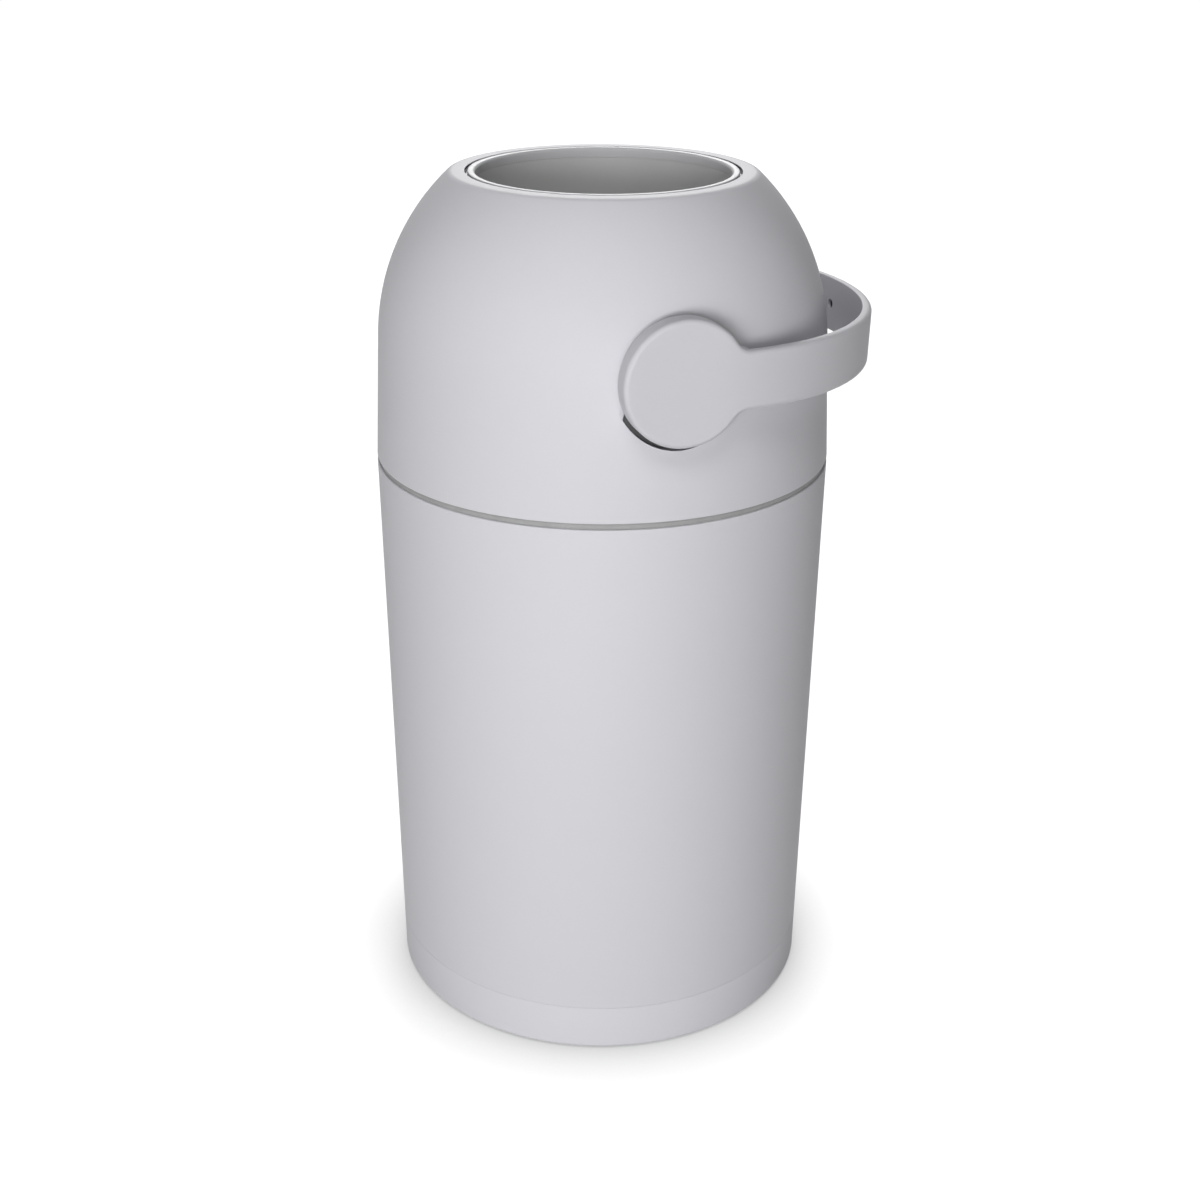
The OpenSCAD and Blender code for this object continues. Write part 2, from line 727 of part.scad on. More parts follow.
// ---- piston ----
piston_r = chute_r - piston_gap;
piston_z = pivot_z - half_l + rim_h + seat_gap;

// One cup, drawn mouth up from z = 0, with a groove for its wiper ring
module piston_cup() {
    cup_h = piston_h / 2;
    groove_r = piston_r - wiper_depth;
    difference() {
        cylinder(r = piston_r, h = cup_h);
        translate([0, 0, piston_wall]) difference() {
            cylinder(r = groove_r - piston_wall, h = cup_h);
            translate([0, 0, -over]) cylinder(r = pillar_r, h = cup_h + 2 * over);
        }
        ring(groove_r, piston_r + over, wiper_inset - seat_gap / 2, wiper_inset + wiper_h + seat_gap / 2);
    }
}

module piston_base() {
    color(piston_grey) translate([0, 0, piston_z]) difference() {
        piston_cup();
        translate([0, 0, -over]) cylinder(r = piston_head_r + seat_gap, h = piston_wall + over, $fn = 32);
        cylinder(r = piston_screw_r + running_gap, h = piston_h, $fn = 32);
    }
}

module piston_top() {
    color(piston_grey) difference() {
        translate([0, 0, piston_z + piston_h]) rotate([180, 0, 0]) piston_cup();
        translate([0, 0, piston_z])
            cylinder(r = piston_screw_r + running_gap, h = piston_wall + piston_screw_l + over, $fn = 32);
    }
}

module piston_screw() {
    color(steel) translate([0, 0, piston_z + piston_wall])
        steel_screw(piston_screw_r, piston_screw_l, piston_head_r, piston_wall);
}

module piston_weight() {
    low_z = piston_z + piston_wall;
    color(steel) ring(pillar_r + seat_gap, piston_r - weight_inset, low_z, low_z + weight_h);
}

module piston_wipers() {
    ring_r = chute_r - piston_gap / 2;
    color(seal_grey) for (z = [piston_z + wiper_inset, piston_z + piston_h - wiper_inset - wiper_h])
        ring(piston_r - wiper_depth + seat_gap, ring_r, z, z + wiper_h);
}

bucket();
base_cap();
grip_pads();
rim_gasket();
bag_ring();
hinge_pin();
dome();
drum_cradle();
cradle_screws();
upper_drum_seal();
lower_drum_seal();
bush(front);  // front_bush
bush(rear);  // rear_bush
handle();
spindle(front);  // front_spindle
spindle(rear);  // rear_spindle
spindle_screws();
drum_shell(front);  // front_drum_shell
drum_shell(rear);  // rear_drum_shell
chute();
upper_rim();
lower_rim();
piston_top();
piston_base();
piston_screw();
piston_weight();
piston_wipers();
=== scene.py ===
import math
import bmesh
import bpy
from mathutils import Matrix, Vector


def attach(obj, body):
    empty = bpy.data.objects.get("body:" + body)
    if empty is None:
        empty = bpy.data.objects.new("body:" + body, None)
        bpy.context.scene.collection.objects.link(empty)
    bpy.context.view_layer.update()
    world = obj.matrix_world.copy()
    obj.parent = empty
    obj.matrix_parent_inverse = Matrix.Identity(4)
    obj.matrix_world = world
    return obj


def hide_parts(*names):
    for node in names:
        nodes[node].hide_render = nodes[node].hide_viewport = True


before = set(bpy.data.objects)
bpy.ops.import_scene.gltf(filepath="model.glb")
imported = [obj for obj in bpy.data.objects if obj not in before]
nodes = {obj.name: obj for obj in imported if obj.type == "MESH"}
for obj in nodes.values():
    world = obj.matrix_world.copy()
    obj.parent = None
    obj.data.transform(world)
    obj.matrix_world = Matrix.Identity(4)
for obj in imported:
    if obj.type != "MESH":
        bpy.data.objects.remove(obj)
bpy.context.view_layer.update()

mm = 0.001
print("loaded", len(nodes), "nodes")

# Heights and radii that several pieces share, in mm
shared = {
    "height": 520.8,
    "rimHeight": 349.5,       # top edge of the bucket
    "domeHeight": 353.1,      # lower edge of the dome
    "baseRadius": 132.988,
    "seamRadius": 137.588,
    "pivotHeight": 432,       # the drum's axis
    "hingeY": 142.988,
    "hingeHeight": 351.3,
    "stepsRound": 192,        # how many faces a turned piece has round it
}
spare = 1                     # mm that a cutting tool reaches past the surface, at least
mergeDistance = 0.002         # mm within which vertices become one
planeDistance = 0.02          # mm within which a vertex counts as lying in a cutting plane
cornerAngle = 1               # radians, above which an edge counts as a corner
smoothAngle = 32              # degrees, below which faces are shaded as one surface


def bodyRadius(height):
    return shared["baseRadius"] + (shared["seamRadius"] - shared["baseRadius"]) * height / shared["rimHeight"]


# ---- camera ----
cameraSettings = {
    "turn": 18.2,             # degrees round the bin from straight in front, towards -X
    "reach": 1051.17,         # mm from the bin's axis, level
    "height": 705.2,
    "pitch": 23.483,          # degrees below level
    "roll": 0.318,
    "sensor": 36,
    "lens": 53.731,
    "shift": -0.00105,
}


def addCamera(settings):
    turn, pitch, roll = (math.radians(settings[key]) for key in ("turn", "pitch", "roll"))
    forward = Vector((math.sin(turn) * math.cos(pitch), math.cos(turn) * math.cos(pitch), -math.sin(pitch)))
    level = Vector((math.cos(turn), -math.sin(turn), 0))
    above = level.cross(forward)
    right = level * math.cos(roll) + above * math.sin(roll)
    up = above * math.cos(roll) - level * math.sin(roll)
    view = bpy.data.cameras.new("camera")
    view.sensor_width = settings["sensor"]
    view.lens = settings["lens"]
    view.shift_x = settings["shift"]
    camera = bpy.data.objects.new("camera", view)
    bpy.context.scene.collection.objects.link(camera)
    reach = settings["reach"] * mm
    place = Vector((-reach * math.sin(turn), -reach * math.cos(turn), settings["height"] * mm))
    camera.matrix_world = Matrix.Translation(place) @ Matrix((right, up, -forward)).transposed().to_4x4()
    bpy.context.scene.camera = camera


addCamera(cameraSettings)
print("camera placed")


# ---- modelling helpers ----
def selectOnly(*chosen):
    if bpy.context.mode != "OBJECT":
        bpy.ops.object.mode_set(mode="OBJECT")
    bpy.ops.object.select_all(action="DESELECT")
    for piece in chosen:
        piece.select_set(True)
        bpy.context.view_layer.objects.active = piece


def edit(piece, kind="VERT"):
    selectOnly(piece)
    bpy.ops.object.mode_set(mode="EDIT")
    bpy.ops.mesh.select_mode(type=kind)


def objectMode():
    bpy.ops.object.mode_set(mode="OBJECT")


# Selects the vertices, edges or faces that pass a test
def pick(piece, kind, test):
    bpy.ops.mesh.select_mode(type=kind)
    bpy.ops.mesh.select_all(action="DESELECT")
    mesh = bmesh.from_edit_mesh(piece.data)
    for item in {"VERT": mesh.verts, "EDGE": mesh.edges, "FACE": mesh.faces}[kind]:
        if test(item):
            item.select = True
    mesh.select_flush_mode()
    bmesh.update_edit_mesh(piece.data)


# Whether a length in metres is the same as one in mm
def near(value, target, slack=0.05):
    return abs(value / mm - target) < slack


# One vertex at a place in the XZ plane, from which an outline is drawn
def startOutline(name, x, z):
    selectOnly()
    bpy.ops.mesh.primitive_plane_add(size=2 * mm)
    piece = bpy.context.object
    piece.name = name
    piece.data.name = name
    edit(piece)
    bpy.ops.mesh.select_all(action="SELECT")
    bpy.ops.mesh.merge(type="CENTER")
    bpy.ops.transform.translate(value=(x * mm, 0, z * mm))
    return piece


# Draws a line from the selected vertex to a new one
def pushVertex(offset):
    bpy.ops.mesh.extrude_vertices_move(TRANSFORM_OT_translate={"value": [value * mm for value in offset]})


# Pushes the selected faces out along an offset, with walls behind them
def pushFaces(offset):
    bpy.ops.mesh.extrude_region_move(TRANSFORM_OT_translate={"value": [value * mm for value in offset]})


# Draws on from the last vertex. A step is a point (x, z) or an arc (middle x, middle z, degrees, steps)
def drawOn(place, steps):
    x, z = place
    for step in steps:
        if len(step) == 2:
            pushVertex((step[0] - x, 0, step[1] - z))
            x, z = step
        else:
            midX, midZ, degrees, count = step
            turn = math.radians(degrees)
            bpy.ops.mesh.spin(steps=count, angle=turn, center=(midX * mm, 0, midZ * mm), axis=(0, 1, 0))
            dx, dz = x - midX, z - midZ
            x = midX + dx * math.cos(turn) - dz * math.sin(turn)
            z = midZ + dx * math.sin(turn) + dz * math.cos(turn)
    return x, z


def closeOutline(piece):
    pick(piece, "VERT", lambda vertex: len(vertex.link_edges) == 1)
    bpy.ops.mesh.edge_face_add()


# Rounds an outline's corners before it is spun: each entry is (x, z, radius)
def roundCorners(piece, corners, segments=4):
    for x, z, radius in corners:
        pick(piece, "VERT", lambda vertex: near(vertex.co.x, x, slack=0.02) and near(vertex.co.z, z, slack=0.02))
        mesh = bmesh.from_edit_mesh(piece.data)
        corner = [vertex for vertex in mesh.verts if vertex.select][0]
        arms = [edge.other_vert(corner).co - corner.co for edge in corner.link_edges]
        slide = radius / math.tan(arms[0].angle(arms[1]) / 2)
        bpy.ops.mesh.bevel(offset=slide * mm, offset_type="OFFSET", segments=segments, affect="VERTICES")


# Spins a drawn outline round the bin's axis and closes it
def spinRound(piece, steps):
    bpy.ops.mesh.select_all(action="SELECT")
    bpy.ops.mesh.spin(steps=steps, angle=2 * math.pi, center=(0, 0, 0), axis=(0, 0, 1))
    tidyMesh()
    objectMode()


def tidyMesh():
    bpy.ops.mesh.select_all(action="SELECT")
    bpy.ops.mesh.remove_doubles(threshold=mergeDistance * mm)
    bpy.ops.mesh.normals_make_consistent(inside=False)


# Adds a modifier and applies it
def applyModifier(piece, kind, **settings):
    selectOnly(piece)
    modifier = piece.modifiers.new(kind.title(), kind)
    for key, value in settings.items():
        setattr(modifier, key, value)
    bpy.ops.object.modifier_apply(modifier=modifier.name)


# Cuts a tool out of a piece, joins it on or keeps what they share. The tool is used up
def cut(piece, tool, operation="DIFFERENCE"):
    applyModifier(piece, "BOOLEAN", operation=operation, solver="MANIFOLD", object=tool)
    bpy.data.objects.remove(tool)


def joinInto(piece, *others):
    selectOnly(*others, piece)
    bpy.ops.object.join()


# A cylinder along an axis, with its ends at two distances from the origin
def cylinderAlong(name, axis, middle, radius, low, high, vertices=64):
    selectOnly()
    place = [value * mm for value in middle]
    place["XYZ".index(axis)] = (low + high) / 2 * mm
    turn = {"X": (0, math.pi / 2, 0), "Y": (math.pi / 2, 0, 0), "Z": (0, 0, 0)}
    bpy.ops.mesh.primitive_cylinder_add(vertices=vertices, radius=radius * mm, depth=(high - low) * mm,
        location=place, rotation=turn[axis])
    piece = bpy.context.object
    piece.name = name
    bpy.ops.object.transform_apply(location=True, rotation=True, scale=True)
    return piece


# Applies a piece's place, shades it and says what it rides on, what it is made of and what it replaces
def finishPiece(piece, body, material, replaced=(), angle=smoothAngle):
    selectOnly(piece)
    bpy.ops.object.transform_apply(location=True, rotation=True, scale=True)
    if angle:
        bpy.ops.object.shade_smooth_by_angle(angle=math.radians(angle))
    piece.data.materials.clear()
    piece.data.materials.append(material)
    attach(piece, body)
    if replaced:
        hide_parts(*replaced)
    print("made", piece.name, len(piece.data.polygons), "faces")


# ---- shader helpers ----
# A socket that can stand in a Python expression
class Strand:
    def __init__(self, finish, socket):
        self.finish = finish
        self.socket = socket

    def maths(self, operation, first, second):
        return self.finish.node("ShaderNodeMath", {"operation": operation}, {0: first, 1: second})

    def __add__(self, other):
        return self.maths("ADD", self, other)

    def __sub__(self, other):
        return self.maths("SUBTRACT", self, other)

    def __rsub__(self, other):
        return self.maths("SUBTRACT", other, self)

    def __mul__(self, other):
        return self.maths("MULTIPLY", self, other)

    __radd__ = __add__
    __rmul__ = __mul__


# A material, or the world, and the one method that adds any node to it
class Finish:
    def __init__(self, target):
        self.material = bpy.data.materials.new(target) if isinstance(target, str) else target
        self.material.use_nodes = True
        self.tree = self.material.node_tree
        self.shader = self.tree.nodes.get("Principled BSDF")

    def node(self, kind, settings=None, values=None, output=0):
        made = self.tree.nodes.new(kind)
        for key, value in (settings or {}).items():
            if key == "stops":
                self.setStops(made.color_ramp, value)
            else:
                setattr(made, key, value)
        for key, value in (values or {}).items():
            self.feed(made.inputs[key], value)
        return Strand(self, made.outputs[output])

    def setStops(self, ramp, stops):
        while len(ramp.elements) < len(stops):
            ramp.elements.new(0.5)
        for element, (position, shade) in zip(ramp.elements, stops):
            element.position = position
            element.color = shade if isinstance(shade, tuple) else (shade, shade, shade, 1)

    def feed(self, socket, value):
        if isinstance(value, Strand):
            self.tree.links.new(value.socket, socket)
        else:
            socket.default_value = value

    def set(self, **values):
        for key, value in values.items():
            self.feed(self.shader.inputs[key.replace("_", " ")], value)

    def surface(self, shader):
        self.feed(self.tree.nodes["Material Output"].inputs["Surface"], shader)

    # 1 where the camera, a reflection or glass looks straight at it
    def seenDirectly(self):
        camera, glossy, through = (self.node("ShaderNodeLightPath", output=ray)
            for ray in ("Is Camera Ray", "Is Glossy Ray", "Is Transmission Ray"))
        return self.node("ShaderNodeMath", {"operation": "ADD", "use_clamp": True}, {0: camera + glossy, 1: through})

    def place(self):
        return self.node("ShaderNodeTexCoord", output="Object")

    def noise(self, where, scale, detail=2.0, roughness=0.5):
        return self.node("ShaderNodeTexNoise", {}, {"Vector": where, "Scale": scale, "Detail": detail,
            "Roughness": roughness})

    def blend(self, factor, first, second):
        return self.node("ShaderNodeMix", {"data_type": "RGBA"}, {0: factor, 6: first, 7: second}, output=2)

    def ramp(self, value, stops):
        return self.node("ShaderNodeValToRGB", {"stops": stops}, {"Fac": value})

    def bump(self, height, distance, strength=1.0):
        return self.node("ShaderNodeBump", {}, {"Height": height, "Strength": strength, "Distance": distance})


def shade(colour, brightness=1.0):
    return (*(part * brightness for part in colour), 1)


# ---- materials ----
# Moulded plastic: a spark-eroded grain, a slight drift of tone and gloss, and a little handling wear
bodyPlasticSettings = {
    "colour": (0.655, 0.650, 0.685),
    "drift": 0.018,           # how much the tone changes over the piece
    "mottleTone": 0.3,        # the mottle's share in the tone and in the relief
    "mottleRelief": 0.2,
    "broadScale": 7.0,
    "mottleScale": 90.0,
    "scuffScale": 38.0,
    "scuffStops": [(0.0, 0.0), (0.56, 0.0), (0.72, 1.0)],
    "index": 1.46,
    "roughness": 0.56,
    "gloss": 0.25,            # strength of the reflection
    "glossDrift": 0.05,       # how much the roughness changes over the piece, in the grain and in the scuffs
    "glossGrain": 0.05,
    "glossScuff": 0.04,
    "grainSize": 0.45,        # mm
    "grainDepth": 0.006,      # mm
}
handlePlasticSettings = {"colour": (0.620, 0.616, 0.648), "roughness": 0.52, "grainDepth": 0.004}
rimPlasticSettings = {"colour": (0.645, 0.643, 0.660), "roughness": 0.46, "grainDepth": 0.003}
drumPlasticSettings = {"colour": (0.60, 0.597, 0.615), "roughness": 0.36, "grainDepth": 0.002}
chutePlasticSettings = {"colour": (0.62, 0.62, 0.62), "roughness": 0.42, "grainDepth": 0.003}
innerPlasticSettings = {"colour": (0.46, 0.46, 0.475), "roughness": 0.5, "grainDepth": 0.008}
pistonPlasticSettings = {"colour": (0.40, 0.40, 0.41), "roughness": 0.4, "grainDepth": 0.004}
bushPlasticSettings = {"colour": (0.80, 0.79, 0.75), "roughness": 0.34, "grainDepth": 0.002}


# What a plastic's own settings leave out is as in the body's
def mouldedPlastic(name, settings):
    settings = {**bodyPlasticSettings, **settings}
    finish = Finish(name)
    place = finish.place()
    drift = settings["drift"]
    broad = finish.noise(place, settings["broadScale"], detail=3.0)
    mottle = finish.noise(place, settings["mottleScale"], detail=4.0, roughness=0.6)
    tone = broad * (1 - settings["mottleTone"]) + mottle * settings["mottleTone"]
    colour = finish.blend(tone, shade(settings["colour"], 1 - drift), shade(settings["colour"], 1 + drift))
    grain = finish.noise(place, 1 / (settings["grainSize"] * mm), roughness=0.6)
    scuff = finish.noise(place, settings["scuffScale"], detail=6.0, roughness=0.75)
    scuff = finish.ramp(scuff, settings["scuffStops"])
    gloss = broad * settings["glossDrift"] + grain * settings["glossGrain"] + scuff * settings["glossScuff"]
    height = grain * (1 - settings["mottleRelief"]) + mottle * settings["mottleRelief"]
    finish.set(Base_Color=colour, Roughness=gloss + (settings["roughness"] - settings["glossGrain"]),
        IOR=settings["index"], Specular_IOR_Level=settings["gloss"],
        Normal=finish.bump(height, settings["grainDepth"] * mm))
    return finish.material


# Rubber: matt, with a fine pebble and paler bloom in patches
rubberSettings = {
    "colour": (0.060, 0.060, 0.063),
    "bloom": 1.22,            # how much paler the patches are
    "bloomScale": 60.0,
    "bloomStops": [(0.35, 0.0), (0.75, 1.0)],
    "index": 1.5,
    "roughness": 0.74,
    "glossBloom": 0.1,
    "glossPebble": 0.06,
    "grainSize": 0.6,         # mm
    "grainDepth": 0.02,       # mm
}
gasketSettings = {"colour": (0.33, 0.33, 0.33), "roughness": 0.62, "grainSize": 0.5, "grainDepth": 0.012}


def mouldedRubber(name, settings):
    settings = {**rubberSettings, **settings}
    finish = Finish(name)
    place = finish.place()
    bloom = finish.noise(place, settings["bloomScale"], detail=5.0, roughness=0.7)
    bloom = finish.ramp(bloom, settings["bloomStops"])
    colour = finish.blend(bloom, shade(settings["colour"]), shade(settings["colour"], settings["bloom"]))
    pebble = finish.node("ShaderNodeTexVoronoi", {"feature": "SMOOTH_F1"},
        {"Vector": place, "Scale": 1 / (settings["grainSize"] * mm), "Smoothness": 0.6})
    gloss = bloom * settings["glossBloom"] + pebble * settings["glossPebble"]
    finish.set(Base_Color=colour, Roughness=gloss + (settings["roughness"] - settings["glossPebble"]),
        IOR=settings["index"], Normal=finish.bump(pebble, settings["grainDepth"] * mm))
    return finish.material


# Turned and plated steel: fine circular tool marks, spots of dull plating
steelSettings = {
    "colour": (0.56, 0.565, 0.575),
    "dull": 0.86,             # brightness of the dull spots
    "spotScale": 260.0,
    "spotStops": [(0.45, 0.0), (0.7, 1.0)],
    "roughness": 0.26,
    "glossSpot": 0.14,
    "glossMark": 0.1,
    "markSize": 0.18,         # mm
    "markStretch": 12,
    "markDepth": 0.003,       # mm
}


def turnedSteel(name, settings):
    finish = Finish(name)
    place = finish.place()
    stretch = settings["markStretch"]
    stretched = finish.node("ShaderNodeMapping", {}, {"Vector": place, "Scale": (1.0, stretch, 1.0)})
    marks = finish.noise(stretched, 1 / (settings["markSize"] * mm) / stretch, detail=3.0, roughness=0.6)
    spots = finish.noise(place, settings["spotScale"], detail=4.0, roughness=0.65)
    spots = finish.ramp(spots, settings["spotStops"])
    colour = finish.blend(spots, shade(settings["colour"]), shade(settings["colour"], settings["dull"]))
    gloss = spots * settings["glossSpot"] + marks * settings["glossMark"]
    finish.set(Base_Color=colour, Metallic=1.0, Roughness=gloss + (settings["roughness"] - settings["glossMark"] / 2),
        Normal=finish.bump(marks, settings["markDepth"] * mm, strength=0.8))
    return finish.material


bodyPlastic = mouldedPlastic("bodyPlastic", bodyPlasticSettings)
handlePlastic = mouldedPlastic("handlePlastic", handlePlasticSettings)
rimPlastic = mouldedPlastic("rimPlastic", rimPlasticSettings)
drumPlastic = mouldedPlastic("drumPlastic", drumPlasticSettings)
chutePlastic = mouldedPlastic("chutePlastic", chutePlasticSettings)
innerPlastic = mouldedPlastic("innerPlastic", innerPlasticSettings)
pistonPlastic = mouldedPlastic("pistonPlastic", pistonPlasticSettings)
bushPlastic = mouldedPlastic("bushPlastic", bushPlasticSettings)
gasketRubber = mouldedRubber("gasketRubber", gasketSettings)
sealRubber = mouldedRubber("sealRubber", rubberSettings)
plainSteel = turnedSteel("plainSteel", steelSettings)

nodeFinish = {
    "bucket": bodyPlastic, "base_cap": bodyPlastic, "dome": bodyPlastic, "handle": handlePlastic,
    "upper_rim": rimPlastic, "lower_rim": rimPlastic, "chute": chutePlastic,
    "front_drum_shell": drumPlastic, "rear_drum_shell": drumPlastic,
    "bag_ring": innerPlastic, "drum_cradle": innerPlastic,
    "piston_top": pistonPlastic, "piston_base": pistonPlastic,
    "front_bush": bushPlastic, "rear_bush": bushPlastic, "rim_gasket": gasketRubber,
    "grip_pads": sealRubber, "upper_drum_seal": sealRubber, "lower_drum_seal": sealRubber,
    "piston_wipers": sealRubber, "hinge_pin": plainSteel, "cradle_screws": plainSteel,
    "front_spindle": plainSteel, "rear_spindle": plainSteel, "spindle_screws": plainSteel,
    "piston_screw": plainSteel, "piston_weight": plainSteel,
}
for name, material in nodeFinish.items():
    nodes[name].data.materials.clear()
    nodes[name].data.materials.append(material)
print("materials ready")

# ---- hinge knuckles, shared by the bucket and the dome ----
hingeSettings = {
    "knuckleRadius": 4.2,
    "boreRadius": 1.67,
    "middleLength": 28,
    "endLength": 15,
    "gap": 0.5,
    "bracketAngle": 37,       # degrees at which a bracket's slope leaves the knuckle
    "edgeRound": 0.5,
    "sharpAngle": 0.6,        # radians, above which a knuckle's edge is rounded
    "bucketRoot": 134.12,     # lies within the bucket's wall along the whole knuckle
    "bucketTop": 349.2,
    "bucketFoot": 332.5,
    "domeRoot": 136.07,
    "domeTop": 365.6,
    "domeFoot": 353.4,
}


# A knuckle on its bracket: the side view is drawn, pushed out along the pin, rounded and bored
def makeKnuckle(name, start, steps, low, high):
    piece = startOutline(name, *start)
    drawOn(start, steps)
    closeOutline(piece)
    bpy.ops.mesh.select_all(action="SELECT")
    bpy.ops.mesh.edge_face_add()
    bpy.ops.transform.translate(value=(0, -low * mm, 0))
    pushFaces((0, low - high, 0))
    tidyMesh()
    pick(piece, "EDGE", lambda edge: edge.calc_face_angle(0) > hingeSettings["sharpAngle"])
    bpy.ops.mesh.bevel(offset=hingeSettings["edgeRound"] * mm, segments=3, affect="EDGES")
    objectMode()
    piece.rotation_euler = (0, 0, math.pi / 2)      # the side view was drawn in XZ
    bpy.ops.object.transform_apply(rotation=True)
    pin = (0, shared["hingeY"], shared["hingeHeight"])
    cut(piece, cylinderAlong("bore", "X", pin, hingeSettings["boreRadius"], low - 2 * spare, high + 2 * spare,
        vertices=32))
    return piece


def bucketKnuckles(settings):
    y, z, r = shared["hingeY"], shared["hingeHeight"], settings["knuckleRadius"]
    slope = math.radians(settings["bracketAngle"])
    start = (y + r * math.cos(slope), z - r * math.sin(slope))
    steps = [(y, z, 180 + settings["bracketAngle"], 18), (y - r, settings["bucketTop"]),
        (settings["bucketRoot"], settings["bucketTop"]), (settings["bucketRoot"], settings["bucketFoot"])]
    low = settings["middleLength"] / 2 + settings["gap"]
    first = makeKnuckle("bucketKnuckle", start, steps, low, low + settings["endLength"])
    selectOnly(first)
    bpy.ops.object.duplicate()
    second = bpy.context.object
    second.location.x = -(2 * low + settings["endLength"]) * mm
    bpy.ops.object.transform_apply(location=True)
    return first, second


def domeKnuckle(settings):
    y, z, r = shared["hingeY"], shared["hingeHeight"], settings["knuckleRadius"]
    half = settings["middleLength"] / 2
    steps = [(y, z, 270 - settings["bracketAngle"], 20), (settings["domeRoot"], settings["domeTop"]),
        (settings["domeRoot"], settings["domeFoot"]), (y - r, settings["domeFoot"])]
    return makeKnuckle("domeKnuckle", (y - r, z), steps, -half, half)


# ---- bucket ----
bucketSettings = {
    "wall": 2.6,
    "shoulder": 30.08,        # height of the joint with the base cap
    "neckLow": (130.328, 3),  # radius and height of the neck that stands in the base cap
    "neckHigh": (130.683, 30.08),
    "openRadius": 130.988,
    "rimThickness": 3,
    "ledgeHeight": 338,
    "ledgeThickness": 2.5,
    "ledgeRadius": 126.988,
    "neckSlope": 8,
    "edgeRound": 0.6,
    "jointRound": 0.2,
    "footRound": 1.5,         # the bottom's corner, outside and inside
    "footInnerRound": 1.8,
    "ledgeRound": 0.8,
}


# The outline's corners are rounded by their place in the list
def makeBucket(settings):
    wall, shoulder, rim, ledge = settings["wall"], settings["shoulder"], shared["rimHeight"], settings["ledgeHeight"]
    rimUnder = rim - settings["rimThickness"]
    under = ledge - settings["ledgeThickness"]
    ledgeWall = bodyRadius(ledge) - wall
    lowX, lowZ = settings["neckLow"]
    highX, highZ = settings["neckHigh"]
    outline = [(0, lowZ), (lowX, lowZ), (highX, highZ), (bodyRadius(shoulder), shoulder), (shared["seamRadius"], rim),
        (settings["openRadius"], rim), (settings["openRadius"], rimUnder), (bodyRadius(rimUnder) - wall, rimUnder),
        (ledgeWall, ledge), (settings["ledgeRadius"], ledge), (settings["ledgeRadius"], under),
        (ledgeWall, under - (ledgeWall - settings["ledgeRadius"])),
        (bodyRadius(shoulder) - wall, shoulder + settings["neckSlope"]), (highX - wall, highZ),
        (lowX - wall, lowZ + wall), (0, lowZ + wall)]
    piece = startOutline("bucketBody", *outline[0])
    drawOn(outline[0], outline[1:])
    rounds = {4: "edgeRound", 5: "edgeRound", 3: "jointRound", 1: "footRound", 9: "ledgeRound", 10: "ledgeRound",
        14: "footInnerRound"}
    roundCorners(piece, [(*outline[place], settings[key]) for place, key in rounds.items()], segments=5)
    spinRound(piece, shared["stepsRound"])
    return piece


bucketBody = makeBucket(bucketSettings)
joinInto(bucketBody, *bucketKnuckles(hingeSettings))
finishPiece(bucketBody, "bin", bodyPlastic, ["bucket"])

# ---- base cap ----
baseCapSettings = {
    "height": 30,
    "wall": 2.4,
    "floor": 3,
    "baseRound": 3,
    "jointRound": 0.2,
    "padCount": 4,
    "padRadius": 9.3,         # seats let in for the rubber pads
    "padDepth": 1.6,
    "padReach": 111.988,
}


def makeBaseCap(settings):
    high = settings["height"]
    inLow = bodyRadius(settings["floor"]) - settings["wall"]
    inHigh = bodyRadius(high) - settings["wall"]
    outline = [(0, 0), (shared["baseRadius"], 0), (bodyRadius(high), high), (inHigh, high),
        (inLow, settings["floor"]), (0, settings["floor"])]
    piece = startOutline("baseCapShell", *outline[0])
    drawOn(outline[0], outline[1:])
    roundCorners(piece, [(*outline[1], settings["baseRound"])], segments=8)
    roundCorners(piece, [(*outline[2], settings["jointRound"]), (*outline[3], settings["jointRound"])], segments=3)
    spinRound(piece, shared["stepsRound"])
    for count in range(settings["padCount"]):
        turn = (count + 0.5) * 2 * math.pi / settings["padCount"]
        middle = (settings["padReach"] * math.cos(turn), settings["padReach"] * math.sin(turn), 0)
        cut(piece, cylinderAlong("padSeat", "Z", middle, settings["padRadius"], -spare, settings["padDepth"]))
    return piece


baseCapShell = makeBaseCap(baseCapSettings)
finishPiece(baseCapShell, "bin", bodyPlastic, ["base_cap"])

# ---- seal between the bucket and the dome ----
rimSealSettings = {
    "outerRadius": 136.5,
    "innerRadius": 131.288,
    "low": 349.5,
    "high": 352.8,
    "bulge": 0.35,            # how far the middle of its face stands out
    "bulgeRound": 3,
    "edgeRound": 0.5,
}


def makeRimSeal(settings):
    outer, low, high = settings["outerRadius"], settings["low"], settings["high"]
    start = (settings["innerRadius"], low)
    outline = [(outer - settings["bulge"], low), (outer, (low + high) / 2), (outer - settings["bulge"], high),
        (settings["innerRadius"], high)]
    piece = startOutline("rimSeal", *start)
    drawOn(start, outline)
    closeOutline(piece)
    roundCorners(piece, [(*outline[0], settings["edgeRound"]), (*outline[2], settings["edgeRound"])])
    roundCorners(piece, [(*outline[1], settings["bulgeRound"])], segments=3)
    spinRound(piece, shared["stepsRound"])
    return piece


rimSeal = makeRimSeal(rimSealSettings)
finishPiece(rimSeal, "bin", gasketRubber, ["rim_gasket"])

